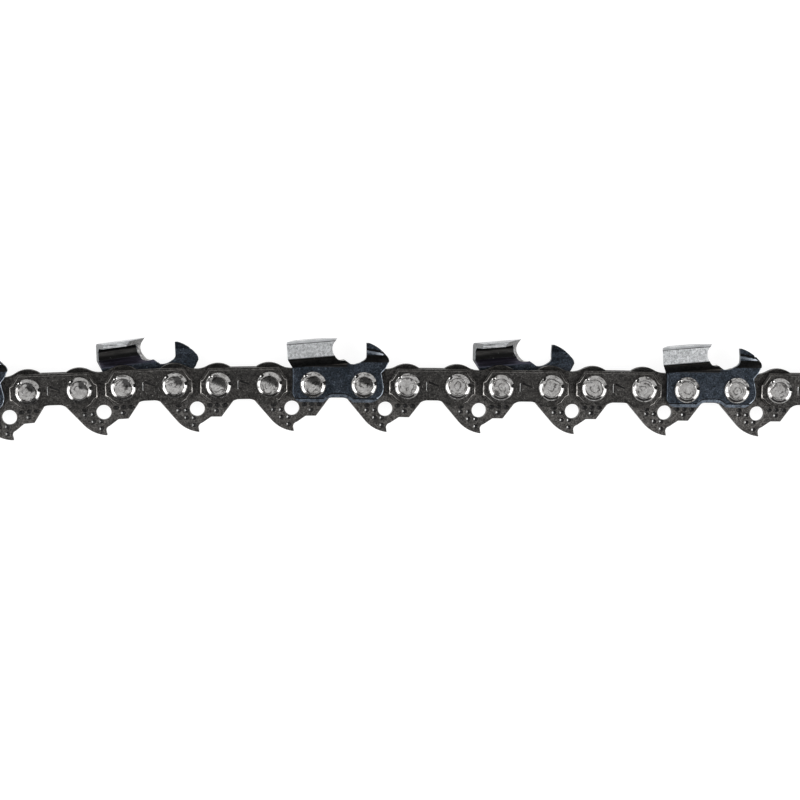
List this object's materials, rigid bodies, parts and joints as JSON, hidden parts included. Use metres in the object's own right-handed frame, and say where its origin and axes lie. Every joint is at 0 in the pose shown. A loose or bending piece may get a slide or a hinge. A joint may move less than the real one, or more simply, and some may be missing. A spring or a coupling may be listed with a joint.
{
  "type": "saw chain length",
  "caption": "Open length of saw chain lying on its side: hooked drive links riveted between tie straps, with hooked cutters on alternate sides.",
  "frame": {"origin": "middle of the empty rivet hole at the rear end, in the middle plane of the drive links", "axes": "+X along the chain in the cutting direction, +Y towards the cutter tops, +Z along the rivets, up when the chain lies on its side"},
  "size_m": [0.2035, 0.021, 0.0076],
  "materials": {
    "drive_link_steel": "satin, blackened",
    "strap_steel": "satin, blackened",
    "cutter_steel": "blued plate with a hard chrome top",
    "rivet_steel": "spun bright"
  },
  "bodies": {
    "drive_link_01": {"drive_link_01": "drive_link_steel"},
    "side_link_01": {"side_link_01_near_cutter": "cutter_steel", "side_link_01_far_strap": "strap_steel", "side_link_01_rivets": "rivet_steel"},
    "drive_link_02": {"drive_link_02": "drive_link_steel"},
    "side_link_02": {"side_link_02_near_strap": "strap_steel", "side_link_02_far_strap": "strap_steel", "side_link_02_rivets": "rivet_steel"},
    "drive_link_03": {"drive_link_03": "drive_link_steel"},
    "side_link_03": {"side_link_03_near_strap": "strap_steel", "side_link_03_far_cutter": "cutter_steel", "side_link_03_rivets": "rivet_steel"},
    "drive_link_04": {"drive_link_04": "drive_link_steel"},
    "side_link_04": {"side_link_04_near_strap": "strap_steel", "side_link_04_far_strap": "strap_steel", "side_link_04_rivets": "rivet_steel"},
    "drive_link_05": {"drive_link_05": "drive_link_steel"},
    "side_link_05": {"side_link_05_near_cutter": "cutter_steel", "side_link_05_far_strap": "strap_steel", "side_link_05_rivets": "rivet_steel"},
    "drive_link_06": {"drive_link_06": "drive_link_steel"},
    "side_link_06": {"side_link_06_near_strap": "strap_steel", "side_link_06_far_strap": "strap_steel", "side_link_06_rivets": "rivet_steel"},
    "drive_link_07": {"drive_link_07": "drive_link_steel"},
    "side_link_07": {"side_link_07_near_strap": "strap_steel", "side_link_07_far_cutter": "cutter_steel", "side_link_07_rivets": "rivet_steel"},
    "drive_link_08": {"drive_link_08": "drive_link_steel"},
    "side_link_08": {"side_link_08_near_strap": "strap_steel", "side_link_08_far_strap": "strap_steel", "side_link_08_rivets": "rivet_steel"},
    "drive_link_09": {"drive_link_09": "drive_link_steel"},
    "side_link_09": {"side_link_09_near_cutter": "cutter_steel", "side_link_09_far_strap": "strap_steel", "side_link_09_rivets": "rivet_steel"},
    "drive_link_10": {"drive_link_10": "drive_link_steel"},
    "side_link_10": {"side_link_10_near_strap": "strap_steel", "side_link_10_far_strap": "strap_steel", "side_link_10_rivets": "rivet_steel"},
    "drive_link_11": {"drive_link_11": "drive_link_steel"}
  },
  "joints": [
    {"name": "drive_link_06_to_side_link_06", "type": "hinge", "parent": "drive_link_06", "child": "side_link_06", "pos_m": [0.10169, 0.00225, 0], "axis": [0, 0, 1], "range_deg": [-28, 14]},
    {"name": "side_link_06_to_drive_link_07", "type": "hinge", "parent": "side_link_06", "child": "drive_link_07", "pos_m": [0.11175, 0.00207, 0], "axis": [0, 0, 1], "range_deg": [-26.5, 15.5]},
    {"name": "drive_link_07_to_side_link_07", "type": "hinge", "parent": "drive_link_07", "child": "side_link_07", "pos_m": [0.12033, 0.00185, 0], "axis": [0, 0, 1], "range_deg": [-27.5, 14.5]},
    {"name": "side_link_07_to_drive_link_08", "type": "hinge", "parent": "side_link_07", "child": "drive_link_08", "pos_m": [0.13039, 0.00167, 0], "axis": [0, 0, 1], "range_deg": [-27, 15]},
    {"name": "drive_link_08_to_side_link_08", "type": "hinge", "parent": "drive_link_08", "child": "side_link_08", "pos_m": [0.13897, 0.00152, 0], "axis": [0, 0, 1], "range_deg": [-26.5, 15.5]},
    {"name": "side_link_08_to_drive_link_09", "type": "hinge", "parent": "side_link_08", "child": "drive_link_09", "pos_m": [0.14902, 0.00126, 0], "axis": [0, 0, 1], "range_deg": [-27, 15]},
    {"name": "drive_link_09_to_side_link_09", "type": "hinge", "parent": "drive_link_09", "child": "side_link_09", "pos_m": [0.1576, 0.00104, 0], "axis": [0, 0, 1], "range_deg": [-27.5, 14.5]},
    {"name": "side_link_09_to_drive_link_10", "type": "hinge", "parent": "side_link_09", "child": "drive_link_10", "pos_m": [0.16766, 0.00086, 0], "axis": [0, 0, 1], "range_deg": [-27, 15]},
    {"name": "drive_link_10_to_side_link_10", "type": "hinge", "parent": "drive_link_10", "child": "side_link_10", "pos_m": [0.17624, 0.00071, 0], "axis": [0, 0, 1], "range_deg": [-26.5, 15.5]},
    {"name": "side_link_10_to_drive_link_11", "type": "hinge", "parent": "side_link_10", "child": "drive_link_11", "pos_m": [0.18629, 0.00045, 0], "axis": [0, 0, 1], "range_deg": [-27, 15]},
    {"name": "drive_link_06_to_side_link_05", "type": "hinge", "parent": "drive_link_06", "child": "side_link_05", "pos_m": [0.09312, 0.00255, 0], "axis": [0, 0, 1], "range_deg": [-16, 26]},
    {"name": "side_link_05_to_drive_link_05", "type": "hinge", "parent": "side_link_05", "child": "drive_link_05", "pos_m": [0.08306, 0.00272, 0], "axis": [0, 0, 1], "range_deg": [-15.5, 26.5]},
    {"name": "drive_link_05_to_side_link_04", "type": "hinge", "parent": "drive_link_05", "child": "side_link_04", "pos_m": [0.07448, 0.0028, 0], "axis": [0, 0, 1], "range_deg": [-16, 26]},
    {"name": "side_link_04_to_drive_link_04", "type": "hinge", "parent": "side_link_04", "child": "drive_link_04", "pos_m": [0.06442, 0.00271, 0], "axis": [0, 0, 1], "range_deg": [-14, 28]},
    {"name": "drive_link_04_to_side_link_03", "type": "hinge", "parent": "drive_link_04", "child": "side_link_03", "pos_m": [0.05584, 0.00279, 0], "axis": [0, 0, 1], "range_deg": [-17.5, 24.5]},
    {"name": "side_link_03_to_drive_link_03", "type": "hinge", "parent": "side_link_03", "child": "drive_link_03", "pos_m": [0.04579, 0.00244, 0], "axis": [0, 0, 1], "range_deg": [-16, 26]},
    {"name": "drive_link_03_to_side_link_02", "type": "hinge", "parent": "drive_link_03", "child": "side_link_02", "pos_m": [0.03722, 0.00199, 0], "axis": [0, 0, 1], "range_deg": [-13.5, 28.5]},
    {"name": "side_link_02_to_drive_link_02", "type": "hinge", "parent": "side_link_02", "child": "drive_link_02", "pos_m": [0.02716, 0.00172, 0], "axis": [0, 0, 1], "range_deg": [-18.5, 23.5]},
    {"name": "drive_link_02_to_side_link_01", "type": "hinge", "parent": "drive_link_02", "child": "side_link_01", "pos_m": [0.01861, 0.00098, 0], "axis": [0, 0, 1], "range_deg": [-13, 29]},
    {"name": "side_link_01_to_drive_link_01", "type": "hinge", "parent": "side_link_01", "child": "drive_link_01", "pos_m": [0.00857, 0.00045, 0], "axis": [0, 0, 1], "range_deg": [-15, 27]}
  ]
}
